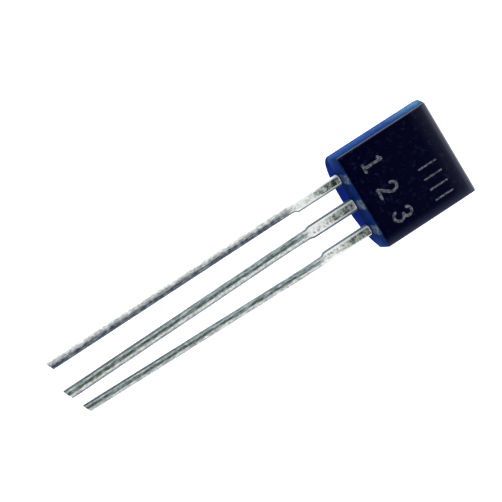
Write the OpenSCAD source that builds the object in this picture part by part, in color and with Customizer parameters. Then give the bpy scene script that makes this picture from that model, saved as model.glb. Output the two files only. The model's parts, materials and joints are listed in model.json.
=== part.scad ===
// Small-signal transistor in a TO-92 outline, lying on its round back.
// A stamped lead frame of three leads is moulded into a D-shaped epoxy case.
// The pieces are drawn with the leads hanging down: X runs across the leads,
// Y from the flat face (-) to the round back (+), Z up from the lead end of the case.
// laid() then lays the whole part on its back, where it rests on the lower
// edge of the case and on the tips of the leads.

/* [Case] */
// Width across the flanks at the parting line, in mm
case_w = 4.6; // [4.4:0.05:5.2]
// Height from end to end at the parting line
case_h = 4.8; // [4.3:0.01:5.3]
// Depth from the parting line forward to the flat face
face_depth = 1.27; // [1.1:0.01:1.6]
// Mould draft of the two flanks, in degrees
flank_draft = 3.5; // [1:0.25:7]
// Mould draft of both ends in front of the parting line
front_draft = 4.25; // [1:0.25:7]
// Mould draft of both ends behind the parting line
back_draft = 1; // [0.5:0.25:5]
// Round between the flat face and the flanks
ridge_round = 0.08; // [0.05:0.01:0.3]
// Round between the flat face and the upper end
brow_round = 0.3; // [0.05:0.01:0.5]
// Round between the flat face and the lead end
chin_round = 0.1; // [0.05:0.01:0.3]
// Round of the corners between flanks and ends, which runs on along the rim of the back
rim_round = 0.12; // [0.1:0.01:0.4]

/* [Mould marks] */
// Diameter of the ejector pin's mark on the round back
ejector_d = 0.9; // [0.5:0.05:1.2]
// Depth of the ejector mark below the crest of the back
ejector_depth = 0.08; // [0.06:0.01:0.15]
// Width of the gate scar on the upper end
gate_w = 0.7; // [0.4:0.05:1.2]
// Thickness of the gate scar, across the parting line
gate_t = 0.24; // [0.15:0.01:0.4]
// How far the gate scar stands proud of the end
gate_proud = 0.04; // [0.02:0.01:0.1]

/* [Lead frame] */
// How far the lead frame sits to the right of the case's middle
frame_shift = 0.05; // [-0.1:0.01:0.1]
// Distance from lead to lead
pitch = 1.27; // [1.2:0.01:1.4]
// Thickness of the sheet the leads are stamped from
sheet_t = 0.38; // [0.3:0.01:0.5]
// Width of the outer leads below the dam-bar zone
outer_w = 0.4; // [0.32:0.01:0.5]
// Width of the middle lead below the dam-bar zone
middle_w = 0.48; // [0.36:0.01:0.6]
// Stub left by the cut dam bar on the inner side of each outer lead
outer_stub = 0.1; // [0.04:0.01:0.16]
// Stub left by the cut dam bar on each side of the middle lead
middle_stub = 0.055; // [0.03:0.005:0.1]
// Length of the wide zone from the case to the dam-bar cut
shoulder_l = 2.2; // [1.5:0.05:3]
// Height of the taper from the wide zone to the plain lead
taper_l = 0.22; // [0.05:0.01:0.4]

/* [Lead ends] */
// Length of the left lead outside the case, along its middle
left_l = 14.65; // [12.5:0.05:16]
// Length of the middle lead outside the case
middle_l = 14.65; // [12.5:0.05:16]
// Length of the right lead outside the case
right_l = 14.3; // [12.5:0.05:16]
// Distance below the case at which the leads start to lean
lean_from = 3.5; // [3.1:0.1:6]
// Lean of the left lead toward the right, in degrees
left_lean = 0.3; // [-1:0.05:1]
// Lean of the middle lead toward the right
middle_lean = 0.95; // [-1:0.05:1.5]
// Lean of the right lead toward the right
right_lean = -1.1; // [-1.8:0.05:1]
// Slant of the cut across each lead's end, in degrees
cut_slant = 22; // [0:1:30]

/* [Inside the case] */
// Width of the bond post on each outer lead
post_w = 0.94; // [0.75:0.01:1]
// Height of the bond post
post_h = 0.9; // [0.7:0.05:1.1]
// Height of the posts' lower edge above the lead end of the case
post_z = 1.05; // [0.8:0.05:1.3]
// Clear gap between the posts and the flag above them
flag_gap = 0.3; // [0.2:0.01:0.4]
// Width of the flag that carries the die
flag_w = 2; // [1.6:0.05:2.4]
// Height of the flag
flag_h = 1.6; // [1.5:0.05:1.7]
// Round of the corners of the flag and the posts
frame_round = 0.12; // [0.03:0.01:0.2]
// Diameter of the locking hole near the flag's upper edge
lock_d = 0.36; // [0.2:0.02:0.4]
// Thickness of plastic between the flag's upper edge and the locking hole's edge
lock_edge = 0.14; // [0.1:0.01:0.2]
// Side of the square die
die_w = 0.8; // [0.5:0.05:0.9]
// Thickness of the die
die_t = 0.2; // [0.15:0.01:0.3]
// Thickness of the solder under the die
attach_t = 0.03; // [0.02:0.01:0.05]
// Width of the solder that shows round the die
attach_rim = 0.05; // [0.02:0.01:0.08]

/* [Bond wires] */
// Diameter of the bond wires
wire_d = 0.05; // [0.04:0.005:0.07]
// Diameter of the ball bond on the die and of the stitch on the post
bond_d = 0.12; // [0.1:0.01:0.16]
// Thickness of the ball bond and of the stitch
bond_t = 0.03; // [0.02:0.005:0.05]
// Distance from the die's middle to each bond, across the leads
pad_x = 0.2; // [0.15:0.01:0.22]
// Rise of the wires above the die
loop_h = 0.28; // [0.2:0.01:0.35]
// Radius of the wires' bends
bend_r = 0.1; // [0.08:0.01:0.15]

/* [Hidden] */
$fn = 96;

// Case: its half sizes, and how much the draft takes off by the face and the back
half_w = case_w / 2;
face_half_w = half_w - face_depth * tan(flank_draft);
face_rise = face_depth * tan(front_draft);
back_rise = half_w * tan(back_draft);
// Extra length that carries a cut or a blank past the case
past = 1;
// How far a round stands proud of the two sides it joins, so that it crosses them cleanly
proud = 0.0001;

// Lead frame: its faces and the places along Z that the pieces inside share
sheet_front = -sheet_t / 2;
flag_z = post_z + post_h + flag_gap;
flag_top = flag_z + flag_h;
lock_z = flag_top - lock_edge - lock_d / 2;
die_z = (flag_z + lock_z - lock_d / 2) / 2;
die_front = sheet_front - attach_t - die_t;

// Lying down, the lower rim of the back and the longest lead's tip touch the same
// surface. Seen from the side, the rim is an arc about rim_y, rim_z.
rim_y = half_w - rim_round;
rim_z = rim_y * tan(back_draft) + rim_round / cos(back_draft);
reach = max(max(left_l, right_l) + outer_w / 2 * tan(cut_slant),
            middle_l + middle_w / 2 * tan(cut_slant));
rim_to_tip = [reach + rim_z, rim_y - sheet_t / 2];
tilt = atan(rim_to_tip[1] / rim_to_tip[0]) + asin(rim_round / norm(rim_to_tip));
function laid_x(y, z) = z * cos(tilt) + y * sin(tilt);
function laid_z(y, z) = z * sin(tilt) - y * cos(tilt);
upper_x = laid_x(rim_y, case_h - rim_z) + rim_round;
tip_x = laid_x(-sheet_t / 2, -reach);
lowest = laid_z(rim_y, rim_z) - rim_round;

function unit(v) = v / norm(v);

// Convex polygon with its corners rounded by true arcs; a radius of 0 keeps a corner sharp
module soft_polygon(points, radii) {
    n = len(points);
    // Directions from corner i to the corners before and after it
    back = [for (i = [0 : n - 1]) unit(points[(i + n - 1) % n] - points[i])];
    ahead = [for (i = [0 : n - 1]) unit(points[(i + 1) % n] - points[i])];
    half = [for (i = [0 : n - 1]) acos(back[i] * ahead[i]) / 2];
    polygon([for (i = [0 : n - 1]) let (run = radii[i] / tan(half[i]))
        each (radii[i] > 0
            ? [points[i] + run * back[i], points[i] + run * ahead[i]]
            : [points[i]])]);
    for (i = [0 : n - 1])
        if (radii[i] > 0)
            translate(points[i] + unit(back[i] + ahead[i]) * radii[i] / sin(half[i]))
                circle(radii[i] + proud);
}

// Rectangle from corner a to corner b with four equal rounds
module soft_rect(a, b, r) {
    soft_polygon([a, [b[0], a[1]], b, [a[0], b[1]]], [r, r, r, r]);
}

// Extrudes a profile drawn in X and Z along Y, from y = y0 over the thickness t
module along_y(y0, t) {
    translate([0, y0 + t, 0]) rotate([90, 0, 0]) linear_extrude(t) children();
}

// Extrudes a profile drawn in Y and Z along X, over the width w centred on the middle
module along_x(w) {
    rotate([90, 0, 90]) translate([0, 0, -w / 2]) linear_extrude(w) children();
}

// Puts the lead frame, and what it carries, in its place in the case
module framed() {
    translate([frame_shift, 0, 0]) children();
}

// Lays the part on its back, leads toward -X, flat face up
module laid() {
    translate([-(upper_x + tip_x) / 2, 0, -lowest])
        rotate([0, -tilt, 0]) rotate([-90, 0, -90]) children();
}

// Front half of the case: its plan, its side and its front view, each drafted away
// from the parting line, cut out of one another
module case_front() {
    intersection() {
        linear_extrude(case_h)
            soft_polygon([[-half_w, 0], [-face_half_w, -face_depth],
                          [face_half_w, -face_depth], [half_w, 0]],
                         [0, ridge_round, ridge_round, 0]);
        along_x(case_w + 2 * past)
            soft_polygon([[-face_depth, face_rise], [0, 0], [0, case_h],
                          [-face_depth, case_h - face_rise]],
                         [chin_round, 0, 0, brow_round]);
        along_y(-face_depth - past, face_depth + past)
            soft_rect([-half_w, 0], [half_w, case_h], rim_round);
    }
}

// Back half of the case, turned about the middle of the parting line
module case_back() {
    rotate_extrude(angle = 180)
        soft_polygon([[0, 0], [half_w, back_rise], [half_w, case_h - back_rise], [0, case_h]],
                     [0, rim_round, rim_round, 0]);
}

module body() {
    color("midnightblue") laid() difference() {
        union() {
            case_front();
            case_back();
            gate_scar();
        }
        ejector_mark();
        framed() {
            left_lead_form();
            middle_lead_form();
            right_lead_form();
            die_form();
            die_attach_form();
            bond_wire_form(-1);
            bond_wire_form(1);
        }
    }
}

// Stub where the runner of the mould was broken off, across the parting line
module gate_scar() {
    translate([-gate_w / 2, -gate_t / 2, case_h - past])
        cube([gate_w, gate_t, past + gate_proud]);
}

// Shallow round pocket that the ejector pin leaves in the back
module ejector_mark() {
    translate([0, half_w - ejector_depth, case_h / 2])
        rotate([-90, 0, 0]) cylinder(d = ejector_d, h = past);
}

// Outside run of a lead: x is its middle, half_l and half_r its plain half widths,
// stub_l and stub_r what the dam bar left on each side, l its length, lean its lean
module lead_run(x, half_l, half_r, stub_l, stub_r, l, lean, top) {
    drift = (l - lean_from) * tan(lean);
    polygon([
        [x - half_l - stub_l, top],
        [x - half_l - stub_l, -shoulder_l],
        [x - half_l, -shoulder_l - taper_l],
        [x - half_l, -lean_from],
        [x - half_l + drift, -l - half_l * tan(cut_slant)],
        [x + half_r + drift, -l + half_r * tan(cut_slant)],
        [x + half_r, -lean_from],
        [x + half_r, -shoulder_l - taper_l],
        [x + half_r + stub_r, -shoulder_l],
        [x + half_r + stub_r, top]]);
}

// Outer lead on one side, -1 or 1, with its bond post; its dam-bar stub faces the middle
module outer_lead_form(side, l, lean) {
    // The wide zone is centred on the pitch, so the plain lead sits off it by half a stub
    x = side * (pitch + outer_stub / 2);
    post_x = side * pitch;
    along_y(sheet_front, sheet_t) {
        lead_run(x, outer_w / 2, outer_w / 2, side > 0 ? outer_stub : 0,
                 side > 0 ? 0 : outer_stub, l, lean, post_z + post_h / 2);
        soft_rect([post_x - post_w / 2, post_z], [post_x + post_w / 2, post_z + post_h],
                  frame_round);
    }
}

module left_lead_form() { outer_lead_form(-1, left_l, left_lean); }
module right_lead_form() { outer_lead_form(1, right_l, right_lean); }

// Middle lead, which runs up into the flag
module middle_lead_form() {
    along_y(sheet_front, sheet_t) difference() {
        union() {
            lead_run(0, middle_w / 2, middle_w / 2, middle_stub, middle_stub,
                     middle_l, middle_lean, flag_z + flag_h / 4);
            soft_rect([-flag_w / 2, flag_z], [flag_w / 2, flag_top], frame_round);
        }
        translate([0, lock_z]) circle(d = lock_d);
    }
}

module left_lead() { color("silver") laid() framed() left_lead_form(); }
module middle_lead() { color("silver") laid() framed() middle_lead_form(); }
module right_lead() { color("silver") laid() framed() right_lead_form(); }

// Solder under the die
module die_attach_form() {
    side = die_w + 2 * attach_rim;
    translate([-side / 2, sheet_front - attach_t, die_z - side / 2])
        cube([side, attach_t, side]);
}

// Silicon die, on the face side of the flag
module die_form() {
    translate([-die_w / 2, die_front, die_z - die_w / 2]) cube([die_w, die_t, die_w]);
}

module die_attach() { color("dimgray") laid() framed() die_attach_form(); }
module die() { color("slategray") laid() framed() die_form(); }

// Bond wire on one side, -1 or 1: a ball on the die, a leg, a level run and a leg down
// to the stitch on the post
module bond_wire_form(side) {
    start = [side * pad_x, die_z - die_w / 4];
    end = [side * pitch, post_z + post_h / 2];
    span = norm(end - start);
    heading = atan2(end[1] - start[1], end[0] - start[0]);
    // In the frame below, X runs from the ball to the stitch and Z rises from the die
    drop = attach_t + die_t;
    translate([start[0], die_front, start[1]]) rotate([90, 0, 0]) rotate([0, 0, heading]) {
        cylinder(d = bond_d, h = bond_t);
        translate([span, 0, -drop]) cylinder(d = bond_d, h = bond_t);
        cylinder(d = wire_d, h = loop_h - bend_r);
        translate([span, 0, -drop]) cylinder(d = wire_d, h = drop + loop_h - bend_r);
        translate([bend_r, 0, loop_h]) rotate([0, 90, 0])
            cylinder(d = wire_d, h = span - 2 * bend_r);
        translate([bend_r, 0, loop_h - bend_r]) rotate([90, 0, 0]) bend(90);
        translate([span - bend_r, 0, loop_h - bend_r]) rotate([90, 0, 0]) bend(0);
    }
}

// Quarter bend of wire in the X-Y plane, from angle a to a + 90
module bend(a) {
    rotate([0, 0, a]) rotate_extrude(angle = 90) translate([bend_r, 0]) circle(d = wire_d);
}

module left_bond_wire() { color("gold") laid() framed() bond_wire_form(-1); }
module right_bond_wire() { color("gold") laid() framed() bond_wire_form(1); }

body();
left_lead();
middle_lead();
right_lead();
die();
die_attach();
left_bond_wire();
right_bond_wire();
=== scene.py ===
"""A small-signal transistor in a TO-92 outline, lying on its round back.

The drafted D-shaped epoxy case, the three tinned leads and the marks on the flat face are
modelled here in the part's own frame. The die, its solder and the bond wires inside the case
are the frame's own pieces with a finish of their own.
"""
import json
import math

import bmesh
import bpy
from bpy.props import FloatProperty, FloatVectorProperty, IntProperty, PointerProperty
from mathutils import Matrix, Vector, noise


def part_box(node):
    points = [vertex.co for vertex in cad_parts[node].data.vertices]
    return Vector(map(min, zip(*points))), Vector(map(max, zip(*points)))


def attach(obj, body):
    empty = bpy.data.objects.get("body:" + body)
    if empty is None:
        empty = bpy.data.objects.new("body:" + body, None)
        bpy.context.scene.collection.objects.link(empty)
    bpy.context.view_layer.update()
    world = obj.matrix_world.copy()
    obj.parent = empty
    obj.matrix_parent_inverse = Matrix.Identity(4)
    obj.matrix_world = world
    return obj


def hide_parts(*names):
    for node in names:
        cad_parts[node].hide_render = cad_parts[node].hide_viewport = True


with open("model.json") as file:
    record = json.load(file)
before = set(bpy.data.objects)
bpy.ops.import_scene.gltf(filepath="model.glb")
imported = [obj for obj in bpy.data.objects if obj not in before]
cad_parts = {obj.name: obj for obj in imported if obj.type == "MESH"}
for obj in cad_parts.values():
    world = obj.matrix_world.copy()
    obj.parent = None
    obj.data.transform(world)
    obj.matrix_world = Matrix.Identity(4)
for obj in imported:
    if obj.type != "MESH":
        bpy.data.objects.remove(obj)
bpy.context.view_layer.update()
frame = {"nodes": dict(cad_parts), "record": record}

bl_info = {
    "name": "TO-92 transistor",
    "version": (1, 0, 0),
    "blender": (4, 5, 0),
    "location": "3D View > Sidebar > Transistor",
    "description": "Builds a small transistor's case, leads and marks, and a stage to show them on",
    "category": "Add Mesh",
}

MM = 0.001
BODY = "root"
CASE_LOW, CASE_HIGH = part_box("body")


def linear(hex_colour):
    """An sRGB hex colour, such as "2A50A0", as linear red, green and blue."""
    values = [int(hex_colour[i:i + 2], 16) / 255 for i in (0, 2, 4)]
    return [v / 12.92 if v <= 0.04045 else ((v + 0.055) / 1.055) ** 2.4 for v in values]


def length(name, description, default):
    """A property for a length that is given in millimetres and kept in metres."""
    return FloatProperty(name=name, description=description, default=default * MM,
                         unit="LENGTH", precision=6, min=0.0)


def angle(name, description, default):
    """A property for an angle that is given in degrees and kept in radians."""
    return FloatProperty(name=name, description=description, default=math.radians(default),
                         subtype="ANGLE", unit="ROTATION")


def colour(name, description, default):
    """A property for a colour that is given as sRGB hex and kept linear."""
    return FloatVectorProperty(name=name, description=description, default=linear(default),
                               subtype="COLOR", size=3, min=0.0, max=1.0)


def strength(name, description, default):
    """A property for how strong a light is."""
    return FloatProperty(name=name, description=description, default=default, min=0.0)


# ---------------------------------------------------------------- sizes and colours

class CaseSizes(bpy.types.PropertyGroup):
    """Sizes of the moulded case"""
    width: FloatProperty(
        name="Width", description="Across the flanks at the parting line",
        default=CASE_HIGH.y - CASE_LOW.y, unit="LENGTH", precision=6)
    height: length("Height", "From end to end at the parting line", 4.8)
    face_depth: length("Face depth", "From the parting line forward to the flat face", 1.27)
    flank_draft: angle("Flank draft", "Mould draft of the flanks", 3.5)
    front_draft: angle("Front draft", "Mould draft of the ends in front of the parting line", 4.25)
    back_draft: angle("Back draft", "Mould draft of the ends behind the parting line", 1.0)
    ridge_round: length("Ridge round", "Between the flat face and the flanks", 0.08)
    brow_round: length("Brow round", "Between the flat face and the upper end", 0.3)
    chin_round: length("Chin round", "Between the flat face and the lead end", 0.1)
    rim_round: length("Rim round", "Between the ends and the flanks, and along the back", 0.12)
    face_sink: length("Face sink", "How far the middle of the face sank as it cooled", 0.008)
    brow_roll: length("Brow roll", "How far the face falls away toward the upper end", 0.075)
    brow_reach: length("Brow reach", "How far from the upper end the face starts to fall", 1.1)
    cheek_roll: length("Cheek roll", "How far the face falls away toward the right flank", 0.055)
    cheek_reach: length("Cheek reach", "How far from the right flank the face starts to fall", 0.55)
    flash_width: length("Flash width", "Half width of the line where the moulds met", 0.03)
    flash_height: length("Flash height", "How far that line stands proud", 0.012)
    ejector_d: length("Ejector mark", "Diameter of the ejector pin's mark on the back", 0.9)
    ejector_depth: length("Ejector depth", "Depth of the mark below the crest", 0.08)
    gate_width: length("Gate width", "Width of the scar on the upper end", 0.7)
    gate_thickness: length("Gate thickness", "Thickness of the scar across the parting line", 0.24)
    gate_height: length("Gate height", "How far the scar stands proud", 0.035)


class LeadSizes(bpy.types.PropertyGroup):
    """Sizes of the stamped leads"""
    shift: length("Shift", "How far the lead frame sits to the right of the case's middle", 0.05)
    pitch: length("Pitch", "Distance from lead to lead", 1.27)
    thickness: length("Thickness", "Thickness of the sheet", 0.38)
    outer_width: length("Outer width", "Width of the outer leads", 0.4)
    middle_width: length("Middle width", "Width of the middle lead", 0.48)
    outer_stub: length("Outer stub", "Dam-bar stub on the inner side of the outer leads", 0.1)
    middle_stub: length("Middle stub", "Dam-bar stub on each side of the middle lead", 0.055)
    shoulder: length("Shoulder", "Length of the wide zone below the case", 2.2)
    taper: length("Taper", "Height of the taper below the wide zone", 0.22)
    lean_from: length("Lean from", "Where the leads start to lean", 3.5)
    left_length: length("Left length", "Length of the left lead outside the case", 14.65)
    middle_length: length("Middle length", "Length of the middle lead outside the case", 14.65)
    right_length: length("Right length", "Length of the right lead outside the case", 14.3)
    left_lean: angle("Left lean", "Lean of the left lead toward the right", 0.3)
    middle_lean: angle("Middle lean", "Lean of the middle lead toward the right", 0.95)
    right_lean: angle("Right lean", "Lean of the right lead toward the right", -1.1)
    cut_slant: angle("Cut slant", "Slant of the cut across each lead's end", 22.0)
    wide_round: length("Wide round", "Round of the long edges of the wide zone", 0.11)
    thin_round: length("Thin round", "Round of the long edges of the thin runs", 0.15)
    tuck: length("Tuck", "How far each lead draws in where the plastic covers its edges", 0.05)
    rim: length("Tin rim", "Height of the rim of tin where the dip ended below the case", 0.022)
    ripple: length("Ripple", "Height of the waves that the tin dip left", 0.005)


class InnerSizes(bpy.types.PropertyGroup):
    """Sizes of the lead frame inside the case"""
    post_width: length("Post width", "Width of the bond post on each outer lead", 0.94)
    post_height: length("Post height", "Height of the bond post", 0.9)
    post_base: length("Post base", "Height of the posts above the lead end of the case", 1.05)
    flag_gap: length("Flag gap", "Clear gap between the posts and the flag", 0.3)
    flag_width: length("Flag width", "Width of the flag that carries the die", 2.0)
    flag_height: length("Flag height", "Height of the flag", 1.6)
    corner: length("Corner", "Round of the corners of the flag and the posts", 0.12)
    lock_d: length("Locking hole", "Diameter of the hole that the plastic fills", 0.36)
    lock_edge: length("Lock edge", "From the flag's upper edge to the hole's edge", 0.14)


class MarkSizes(bpy.types.PropertyGroup):
    """Sizes of the marks on the flat face"""
    number_height: length("Number height", "Height of the pin numbers", 0.86)
    number_width: length("Number width", "Width of the pin numbers", 0.5)
    number_stroke: length("Number stroke", "Width of the pin numbers' strokes", 0.14)
    number_base: length("Number base", "Height of the pin numbers above the lead end", 0.95)
    tick_count: IntProperty(name="Ticks", description="Number of plain ticks", default=4, min=1)
    tick_height: length("Tick height", "Height of the ticks near the upper end", 0.84)
    tick_stroke: length("Tick stroke", "Width of the ticks' strokes", 0.085)
    tick_pitch: length("Tick pitch", "Distance from tick to tick", 0.5)
    tick_right: length("Tick right", "From the case's middle to the last tick", 1.6)
    tick_base: length("Tick base", "Height of the ticks above the lead end", 2.95)
    film: length("Film", "How far the marks stand proud of the face", 0.006)


class Finish(bpy.types.PropertyGroup):
    """Colours of the finishes"""
    epoxy_face: colour("Epoxy face", "Flat face of the case", "00000E")
    # The filler's tone also paints the sheen where the face falls away toward the right flank
    epoxy_filler_and_sheen: colour("Epoxy filler", "Fine filler and worn skin on the flat face", "1C2034")
    epoxy_flank: colour("Epoxy flank", "Drafted flanks of the case", "264680")
    # A paler blue for the flanks near the upper end, a painted highlight
    epoxy_brow_highlight: colour("Epoxy near the brow", "Flanks close to the upper end", "4E7E96")
    # The ends' darker tone in front of the parting line is painted shade
    epoxy_end_shade: colour("Epoxy end", "Ends of the case in front of the parting line", "041740")
    epoxy_back: colour("Epoxy back", "Round back and the ends behind the parting line", "02185E")
    # The tin film is a painted reflection of each lead on the end of the case
    film: colour("Tin film", "Dull film on the end of the case above each lead", "5C6A66")
    ink: colour("Mark", "Marks on the flat face", "3D3E42")
    tin_bright: colour("Bright tin", "Clean tin on the leads", "E6E8DC")
    tin_dull: colour("Dull tin", "Grain and oxide in the tin of the thin runs", "6A6E66")
    tin_grain: colour("Grainy tin", "Grain in the tin of the wide zone", "868070")
    tin_rim: colour("Coined tin", "Clean tin on the coined edges", "E2E6DE")
    tin_dark: colour("Dark tin", "Grain and oxide in the tin close to the case", "26322C")
    # The narrow sides' dark tone is partly their own and partly painted shade
    tin_side: colour("Stamped side", "Narrow sides of the leads", "2E424C")
    # A painted dark reflection down the middle of the thin runs, and the duller tone beside the
    # case
    tin_dark_streak: colour("Stained tin", "Handled and oxidised stretches", "4C5A44")
    # A painted shade on one half of the thin runs
    tin_shade: colour("Shaded tin", "Duller half of the thin runs", "98A5A0")
    # Painted shade on the left lead's right half and on the right edges of the others
    tin_purple_shade: colour("Bruised tin", "Handled edge of the left lead", "444E58")
    sheared: colour("Sheared metal", "Bare metal on the cut ends", "9C948A")
    silicon: colour("Silicon", "Polished silicon", "3A3F4A")
    solder: colour("Solder", "Die solder", "777A80")
    gold: colour("Gold", "Bond wire", "E0B45C")


class Studio(bpy.types.PropertyGroup):
    """The camera, the floor and the light"""
    aim: FloatVectorProperty(
        name="Aim", description="The point that the camera looks at", size=3,
        default=(0.18235 * MM, 0.55643 * MM, 0.92177 * MM), subtype="TRANSLATION",
        unit="LENGTH", precision=6)
    distance: length("Distance", "From the camera to the point it looks at", 80.0)
    azimuth: angle("Azimuth", "The camera's place round the part, from +X toward +Y", 145.1576)
    elevation: angle("Elevation", "The camera's height above the horizon", 72.1716)
    roll: angle("Roll", "The camera's turn about its own sight", 91.8105)
    view: angle("View", "The camera's angle of view", 15.37)
    floor_size: length("Floor size", "Side of the square floor", 1200.0)
    floor_colour: colour("Floor", "Matt pale floor", "F4F4F4")
    floor_glow: strength("Floor glow", "Light that comes up through the floor", 0.6)
    wall_colour: colour("Walls", "Cool white of the walls", "E0E6FF")
    wall_light: strength("Wall light", "Brightness of the pale walls", 1.0)
    wall_tilt: FloatVectorProperty(
        name="Wall tilt", description="How much brighter the walls are toward +X and +Y",
        default=(0.85, -0.15, 0.0), size=3, subtype="XYZ")
    card_way: FloatVectorProperty(
        name="Card way", description="Where the middle of the dark card overhead is",
        default=(-0.14, -0.06, 0.988), size=3, subtype="DIRECTION")
    card_inner: angle("Card inner", "From the card's middle to where it starts to fade", 14.0)
    card_outer: angle("Card outer", "From the card's middle to where the walls are bright", 46.0)
    lamp_light: strength("Lamp light", "Strength of each corner lamp", 1.5)
    lamp_width: angle("Lamp width", "Width of each corner lamp as the part sees it", 35.0)
    lamp_height: angle("Lamp height", "Height of the corner lamps above the horizon", 48.0)


class TransistorSettings(bpy.types.PropertyGroup):
    """All that can be set"""
    case: PointerProperty(type=CaseSizes)
    leads: PointerProperty(type=LeadSizes)
    inner: PointerProperty(type=InnerSizes)
    marks: PointerProperty(type=MarkSizes)
    finish: PointerProperty(type=Finish)
    studio: PointerProperty(type=Studio)


def settings():
    """The scene's property groups: case, leads, inner, marks, finish and studio."""
    return bpy.context.scene.transistor


# ---------------------------------------------------------------- frame and mesh helpers

def laid():
    """The matrix that lays the part on its back: X across the leads, Y from face to back and
    Z up from the lead end of the case become the frame's axes, as the face mount gives them."""
    case = settings().case
    face = next(m for m in frame["record"]["mounts"] if m["name"] == "face")
    out = Vector(face["axis"])
    up = Vector((out.z, 0.0, -out.x))
    turn = Matrix((Vector((0.0, -1.0, 0.0)), -out, up)).transposed().to_4x4()
    middle = Vector((0.0, -case.face_depth, case.height / 2))
    return Matrix.Translation(Vector(face["pos_m"]) - turn @ middle) @ turn


def mesh_object(name, points, faces, maps=None):
    """A new object from points in the part's own frame, laid down. maps holds UV maps by name,
    with one pair of numbers for each point, and without them close points are merged."""
    mesh = bpy.data.meshes.new(name)
    made = bmesh.new()
    corners = [made.verts.new(p) for p in points]
    for face in faces:
        made.faces.new([corners[i] for i in face])
    if not maps:
        bmesh.ops.remove_doubles(made, verts=made.verts, dist=1e-7)
    bmesh.ops.recalc_face_normals(made, faces=made.faces)
    made.to_mesh(mesh)
    made.free()
    for map_name, values in (maps or {}).items():
        layer = mesh.uv_layers.new(name=map_name)
        for loop in mesh.loops:
            layer.data[loop.index].uv = values[loop.vertex_index]
    piece = bpy.data.objects.new(name, mesh)
    bpy.context.scene.collection.objects.link(piece)
    piece.matrix_world = laid()
    return piece


def dress(piece, sharp_angle, *materials):
    """Gives a piece its materials, and smooth shading with the edges above that angle sharp."""
    piece.data.materials.clear()
    for material in materials:
        piece.data.materials.append(material)
    piece.data.shade_smooth()
    piece.data.set_sharp_from_angle(angle=math.radians(sharp_angle))


def combine(piece, tool, operation):
    """Joins the tool's solid to the piece, or cuts it out of it, and removes the tool."""
    change = piece.modifiers.new("combine", "BOOLEAN")
    change.operation = operation
    change.solver = "EXACT"
    change.object = tool
    bpy.context.view_layer.update()
    seen = piece.evaluated_get(bpy.context.evaluated_depsgraph_get())
    mesh = bpy.data.meshes.new_from_object(seen)
    piece.modifiers.clear()
    old = piece.data
    piece.data = mesh
    mesh.name = piece.name
    bpy.data.meshes.remove(old)
    bpy.data.objects.remove(tool)
    if not mesh.polygons:
        raise RuntimeError(f"nothing is left of {piece.name}")


def spread(start, end, steps):
    """Evenly spaced numbers from start to end, both included."""
    return [start + (end - start) * i / steps for i in range(steps + 1)]


def ramp(value, start, end):
    """How far the value is on its way from start to end, held between 0 and 1."""
    return min(1.0, max(0.0, (value - start) / (end - start)))


def loft_faces(rings, count, first=0, capped=False):
    """Quads between closed rings of count points each, from the point of that index on, and
    where capped a face across the first ring and the last."""
    faces = []
    for here in range(first, first + (rings - 1) * count, count):
        for i in range(count):
            after = (i + 1) % count
            faces.append((here + i, here + after, here + count + after, here + count + i))
    if capped:
        last = first + (rings - 1) * count
        faces += [tuple(range(first, first + count)), tuple(range(last, last + count))]
    return faces


def cutting_pin(name, x, z, radius, start, end, sides):
    """A round pin along Y, as a tool to cut with."""
    points = []
    for y in (start, end):
        for turn in spread(0.0, 2 * math.pi, sides)[:-1]:
            points.append((x + radius * math.cos(turn), y, z + radius * math.sin(turn)))
    return mesh_object(name, points, loft_faces(2, sides, capped=True))


# ---------------------------------------------------------------- materials

# Sizes of the patterns. Filler grain, 0.03 mm, pebbles of frozen tin, 0.08 mm, and the streaks
# of the drawn tin, 0.04 mm, are drawn coarser than they are, so that they show.
DYE_CLOUD = 0.25 * MM
FILLER_GRAIN = 0.06 * MM
FILLER_FLECK = 0.2 * MM
TIN_PEBBLE = 0.12 * MM
TIN_STREAK = 0.055 * MM
TIN_SMEAR = 0.06 * MM
TIN_BLOTCH = 0.07 * MM
TORN_RIDGE = 0.05 * MM
INK_GAP = 0.1 * MM
BOARD_FIBRE = 3.0 * MM


def add(tree, kind, *inputs, **values):
    """Adds a shader node of that kind. inputs feed its inputs in order, and values name its own
    settings, or its inputs with _ for a space. An input takes a number, a vector, a colour, a
    socket, or another node's first output."""
    node = tree.nodes.new(f"ShaderNode{kind}")
    named = {}
    for name, value in values.items():
        if name in node.bl_rna.properties:
            setattr(node, name, value)
        else:
            named[name.replace("_", " ")] = value
    sockets = [socket for socket in node.inputs if socket.enabled]
    fed = list(zip(sockets, inputs))
    fed += [(next(s for s in sockets if s.name == name), named[name]) for name in named]
    for socket, value in fed:
        if isinstance(value, bpy.types.Node):
            value = next(s for s in value.outputs if s.enabled)
        if isinstance(value, bpy.types.NodeSocket):
            tree.links.new(value, socket)
        else:
            socket.default_value = (*value, 1.0) if socket.type == "RGBA" else value
    return node


def new_material(name):
    """A new material, its empty tree, and the place on the piece as a socket."""
    material = bpy.data.materials.new(name)
    material.use_nodes = True
    tree = material.node_tree
    tree.nodes.clear()
    return material, tree, add(tree, "TexCoord").outputs["Object"]


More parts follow.
